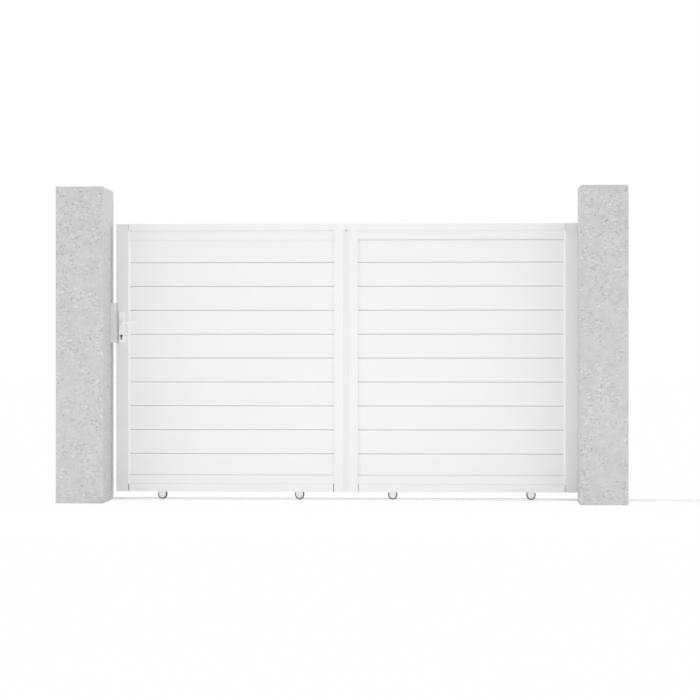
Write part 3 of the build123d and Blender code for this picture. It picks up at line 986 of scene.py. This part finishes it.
@dataclass
class RunningGear:
    """The four wheels in their housings and the bolts that hold them."""

    count: int = 4
    rim_radius: float = 30.0 * MM
    rim_half: float = 10.0 * MM
    rim_width: float = 5.0 * MM
    web_depth: float = 1.6 * MM
    groove_radius: float = 8.0 * MM
    hub_radius: float = 11.0 * MM
    hub_half: float = 17.2 * MM
    bore: float = 6.06 * MM
    seal_width: float = 3.0 * MM
    edge: float = 0.7 * MM
    points: int = 96
    groove_steps: int = 8
    same_point: float = 1e-7
    web_colours: tuple[Colour, Colour] = ((0.36, 0.34, 0.32), (0.46, 0.44, 0.42))
    housing_bolt: ScrewHead = field(default_factory=ScrewHead)
    bolt_offset: float = 14.0 * MM
    bolt_rise: float = 17.0 * MM

    def build(self) -> None:
        """Dresses the housings and axles, and builds the wheels and the rail's bolts."""
        dress([f"wheel_housing_{i}" for i in range(1, self.count + 1)], HOUSING_PAINT)
        dress(["axles"], AXLE_ZINC)
        for number in range(1, self.count + 1):
            self.add_wheel(number)
        self.add_housing_bolts()

    def half_section(self) -> list[tuple[float, float, int]]:
        """One half of a wheel's section, from the bore to the groove's floor.

        Returns:
            The radius, the distance from the middle plane and the material slot of each point.
        """
        rim, half, edge = self.rim_radius, self.rim_half, self.edge
        web = rim - self.rim_width
        seal = self.hub_radius + self.seal_width
        points = [
            (self.bore, self.hub_half, 1), (self.hub_radius - edge, self.hub_half, 1),
            (self.hub_radius, self.hub_half - edge, 1), (self.hub_radius, half - self.web_depth, 2),
            (seal, half - self.web_depth, 1), (web - self.web_depth / 2, half - self.web_depth, 1),
            (web, half, 0), (rim - edge, half, 0), (rim, half - edge, 0),
        ]
        for i in range(self.groove_steps + 1):
            angle = math.pi / 2 * (1 - i / self.groove_steps)
            radius = rim - self.groove_radius * math.cos(angle)
            points.append((radius, self.groove_radius * math.sin(angle), 0))
        return points

    def add_wheel(self, number: int) -> None:
        """Builds one wheel with its round groove, bright web and sealed bearing.

        Args:
            number: The wheel's number, from the closing pillar.
        """
        node = f"wheel_{number}"
        low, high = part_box(node)
        centre = (low + high) / 2
        seat = Seat(centre, Vector((0, 1, 0)))
        half = self.half_section()
        section = half + [(radius, -height, slot) for radius, height, slot in reversed(half[:-1])]
        slots = [half[i][2] for i in range(len(half) - 1)]
        slots += list(reversed(slots))
        skin = Skin(f"turned_{node}")
        loops = [seat.loop(radius, height, self.points) for radius, height, _ in section]
        loops.append(loops[0])
        skin.join(loops, (False, False), slots + [1])
        bmesh.ops.remove_doubles(skin.mesh, verts=skin.mesh.verts, dist=self.same_point)
        axle = {"centre_x": centre.x, "centre_z": centre.z}
        rim = TurnedMetal(f"wheel_rim_{number}", "wheel_steel", **axle)
        web = TurnedMetal(
            f"wheel_web_{number}", "wheel_steel", *self.web_colours, 0.4, 0.7, **axle
        )
        piece = skin.finish([rim, web, SEAL_RUBBER], f"wheel_body_{number}", 40.0)
        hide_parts(node)

    def add_housing_bolts(self) -> None:
        """Adds the bolts that hold each wheel's housing in the wheel rail, on both faces."""
        rail_low, rail_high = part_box("wheel_rail_left")
        skin = Skin("housing_bolts")
        for number in range(1, self.count + 1):
            low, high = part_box(f"wheel_{number}")
            x = (low.x + high.x) / 2 + self.bolt_offset
            z = rail_low.z + self.bolt_rise
            for side in Side:
                face = rail_low.y if side is Side.STREET else rail_high.y
                self.housing_bolt.pan(skin, Seat(Vector((x, face, z)), Vector((0, side.value, 0))))
        skin.finish([HOUSING_PAINT], Body.LEAF)


@dataclass
class LockSet:
    """The lever handles, long plates, cylinder and lock in the closing stile."""

    plates: tuple[str, ...] = ("escutcheon_front", "escutcheon_rear")
    levers: tuple[str, ...] = ("lever_front", "lever_rear")
    barrel_radius: float = 8.5 * MM
    plug_radius: float = 6.6 * MM
    plug_proud: float = 0.5 * MM
    plug_edge: float = 0.3 * MM
    keyway: tuple[float, float] = (2.2 * MM, 8.6 * MM)
    keyway_depth: float = 6.0 * MM
    points: int = 64

    def build(self) -> None:
        """Dresses the lock set and adds the plug that the key turns, on both faces."""
        dress(self.plates + self.levers, HANDLE_PAINT)
        dress(["lock", "spindle"], STAINLESS)
        dress(["lock_cylinder"], BRASS)
        self.add_plugs()

    def add_plugs(self) -> None:
        """Adds the dark turning plugs with their keyways to the cylinder's two ends."""
        low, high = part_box("lock_cylinder")
        skin = Skin("cylinder_plugs")
        outline = slot_outline(*self.keyway)
        r, proud, edge = self.plug_radius, self.plug_proud, self.plug_edge
        for side in Side:
            face = low.y if side is Side.STREET else high.y
            centre = Vector(((low.x + high.x) / 2, face, high.z - self.barrel_radius))
            seat = Seat(centre, Vector((0, side.value, 0)))
            rings = [(r, 0.0), (r, proud - edge), (r - edge, proud)]
            rings += [(outline, proud), (outline, -self.keyway_depth)]
            skin.join([seat.loop(radius, height, self.points) for radius, height in rings])
        skin.finish([PLUG_METAL], Body.LEAF)


@dataclass
class Receiver:
    """The channel on the closing pillar that takes the leaf's edge."""

    anchor: ScrewHead = field(
        default_factory=lambda: ScrewHead(6.5 * MM, 3.2 * MM, socket=5.0 * MM)
    )
    heights: tuple[float, ...] = (1.082, 1.222)
    plate: float = 3.0 * MM

    def build(self) -> None:
        """Dresses the receiver and adds the screws that hold it."""
        dress(["receiver"], DULL_ZINC)
        dress(["strike_keeper"], STAINLESS)
        dress(["closing_buffers"], RUBBER)
        low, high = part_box("receiver")
        skin = Skin("receiver_anchors")
        for z in self.heights:
            centre = Vector((low.x + self.plate, (low.y + high.y) / 2, z))
            self.anchor.pan(skin, Seat(centre, Vector((1, 0, 0))))
        skin.finish([BOLT_ZINC], Body.POSTS)


@dataclass
class Track:
    """The ground track, its screws and the stop at its far end."""

    lengths: tuple[str, ...] = ("track_near", "track_far")
    screws_each: int = 6
    margin: float = 125.0 * MM
    spread: float = 30.0 * MM
    strip: float = 3.0 * MM
    screw: ScrewHead = field(default_factory=lambda: ScrewHead(5.4 * MM, 2.0 * MM))

    def build(self) -> None:
        """Dresses the track and its stop, and adds the screws."""
        dress(self.lengths, TRACK_ZINC)
        dress(["wheel_stop"], ZINC)
        dress(["stop_buffer"], RUBBER)
        skin = Skin("track_screws")
        for name in self.lengths:
            low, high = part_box(name)
            middle = (low.y + high.y) / 2
            pitch = (high.x - low.x - 2 * self.margin) / (self.screws_each - 1)
            for number in range(self.screws_each):
                offset = self.spread / 2 * (1 if number % 2 else -1)
                centre = Vector((low.x + self.margin + number * pitch, middle + offset, self.strip))
                self.screw.pan(skin, Seat(centre, Vector((0, 0, 1))))
        skin.finish([BOLT_ZINC], Body.POSTS)


@dataclass
class TopGuide:
    """The bracket with its rollers on the back of the guide pillar."""

    anchor: ScrewHead = field(default_factory=lambda: ScrewHead(8.0 * MM, 6.0 * MM))
    washer: float = 12.0 * MM
    plate: float = 6.0 * MM
    roller_radius: float = 18.0 * MM
    arm_below_pins: float = 12.0 * MM
    upper: float = 30.0 * MM
    lower: float = 15.0 * MM

    def build(self) -> None:
        """Dresses the guide and adds the four anchor bolts through its plate."""
        dress(["guide_bracket"], ZINC)
        dress(["roller_pins"], BOLT_ZINC)
        dress(["guide_rollers"], NYLON)
        rollers_low, rollers_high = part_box("guide_rollers")
        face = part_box("guide_pillar")[1].y + self.plate
        arm_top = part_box("roller_pins")[1].z - self.arm_below_pins
        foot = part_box("guide_bracket")[0].z
        skin = Skin("guide_anchors")
        for x in (rollers_low.x + self.roller_radius, rollers_high.x - self.roller_radius):
            for z in (foot + self.lower, arm_top + self.upper):
                seat = Seat(Vector((x, face, z)), Vector((0, 1, 0)))
                self.anchor.hexagonal(skin, seat, self.washer)
        skin.finish([BOLT_ZINC], Body.POSTS)


@dataclass
class Studio:
    """A pale floor, a white sky, one weak softbox and the camera of the picture.

    Attributes:
        floor_glow: How much of the floor's look is plain white, for views and mirrors only.
        sky_even: The sky's light from every direction.
        sky_sides: What it adds towards both sides.
        sky_low: What it adds towards the horizon.
        sky_top: What it adds straight above.
    """

    floor_reach: float = 60.0
    floor_colour: Colour = (0.98, 0.98, 0.98)
    floor_glow: float = 0.94
    sky_even: float = 0.45
    sky_sides: float = 0.9
    sky_low: float = 0.535
    sky_top: float = 0.535
    fill_place: tuple[float, float, float] = (1.65, -2.2, 0.2)
    fill_size: tuple[float, float] = (7.0, 0.3)
    fill_power: float = 7.5
    camera_place: tuple[float, float, float] = (2.3241, -13.9414, 0.9944)
    camera_turn: float = math.radians(2.563)
    camera_tilt: float = math.radians(-0.108)
    lens: float = 112.572
    sensor: float = 36.0
    far: float = 200.0

    def build(self) -> None:
        """Builds the floor, the sky and the camera."""
        self.add_floor()
        self.add_sky()
        self.add_fill()
        self.add_camera()
        bpy.context.scene.view_settings.view_transform = "Standard"

    def add_floor(self) -> None:
        """Adds a wide pale floor that shows nearly white and keeps a soft shadow."""
        reach = self.floor_reach
        mesh = bmesh.new()
        corners = [(-reach, -reach), (reach, -reach), (reach, reach), (-reach, reach)]
        mesh.faces.new([mesh.verts.new((x, y, 0.0)) for x, y in corners])
        data = bpy.data.meshes.new("pale_floor")
        mesh.to_mesh(data)
        mesh.free()
        floor = bpy.data.objects.new("pale_floor", data)
        bpy.context.scene.collection.objects.link(floor)
        data.materials.append(self.floor_material())

    def floor_material(self) -> bpy.types.Material:
        """The floor's material: plain, with a white glow that only views and mirrors see.

        Returns:
            The finished material.
        """
        graph = Graph("pale_floor")
        plain = graph.add("ShaderNodeBsdfDiffuse", inputs={"Color": self.floor_colour})
        glow = graph.add("ShaderNodeEmission", inputs={"Color": (1.0, 1.0, 1.0), "Strength": 1.0})
        blend = self.seen_directly(graph) * self.floor_glow
        shown = graph.add("ShaderNodeMixShader", inputs={0: blend, 1: plain, 2: glow})
        graph.add("ShaderNodeOutputMaterial", inputs={"Surface": shown})
        return graph.owner

    def add_sky(self) -> None:
        """Adds a white sky that lights the gate most from both sides, and looks plain white."""
        world = bpy.data.worlds.new("white_sky")
        graph = Graph(world)
        towards = graph.add("ShaderNodeTexCoord", output="Generated")
        sideways = graph.add("ShaderNodeSeparateXYZ", inputs={0: towards}, output="X")
        upwards = graph.add("ShaderNodeSeparateXYZ", inputs={0: towards}, output="Z")
        high = upwards.clamped(0.0, 1.0)
        low = (1.0 - high) ** 2.0
        light = sideways * sideways * self.sky_sides + low * self.sky_low
        light = light + high**4.0 * self.sky_top + self.sky_even
        seen = self.seen_directly(graph)
        strength = light * (1.0 - seen) + seen
        values = {"Color": (1.0, 1.0, 1.0), "Strength": strength}
        glow = graph.add("ShaderNodeBackground", inputs=values)
        graph.add("ShaderNodeOutputWorld", inputs={"Surface": glow})
        bpy.context.scene.world = world

    def add_fill(self) -> None:
        """Adds a weak, wide softbox low in front, which lifts the leaf's foot a little."""
        lamp = bpy.data.lights.new("low_fill", "AREA")
        lamp.shape = "RECTANGLE"
        lamp.size, lamp.size_y = self.fill_size
        lamp.energy = self.fill_power
        holder = bpy.data.objects.new("low_fill", lamp)
        holder.location = self.fill_place
        holder.rotation_euler = (math.pi / 2, 0.0, 0.0)
        holder.visible_camera = False
        holder.visible_glossy = False
        bpy.context.scene.collection.objects.link(holder)

    @staticmethod
    def seen_directly(graph: Graph) -> Signal:
        """Tells what is looked at from what only lights the gate.

        Args:
            graph: The graph that the answer is for.

        Returns:
            1 for what a view, a mirror or glass sees, and 0 for light.
        """
        paths = "ShaderNodeLightPath"
        kinds = ("Is Camera Ray", "Is Glossy Ray", "Is Transmission Ray")
        camera, glossy, through = [graph.add(paths, output=kind) for kind in kinds]
        return (camera + glossy + through).clamped(0.0, 1.0)

    def add_camera(self) -> None:
        """Adds the camera where the picture was taken from."""
        camera = bpy.data.cameras.new("street_view")
        camera.lens = self.lens
        camera.sensor_width = self.sensor
        camera.clip_end = self.far
        holder = bpy.data.objects.new("street_view", camera)
        holder.location = self.camera_place
        holder.rotation_euler = (math.pi / 2 + self.camera_tilt, 0.0, self.camera_turn)
        bpy.context.scene.collection.objects.link(holder)
        bpy.context.scene.camera = holder


def main() -> None:
    """Builds every sub-assembly in order, then the studio."""
    logging.basicConfig(level=logging.INFO, format="%(name)s %(message)s")
    for part in (Pillars(), Track(), Receiver(), TopGuide(), Leaf(), RunningGear(), LockSet()):
        log.info("building %s", type(part).__name__)
        part.build()
    Studio().build()


if __name__ == "__main__":
    main()
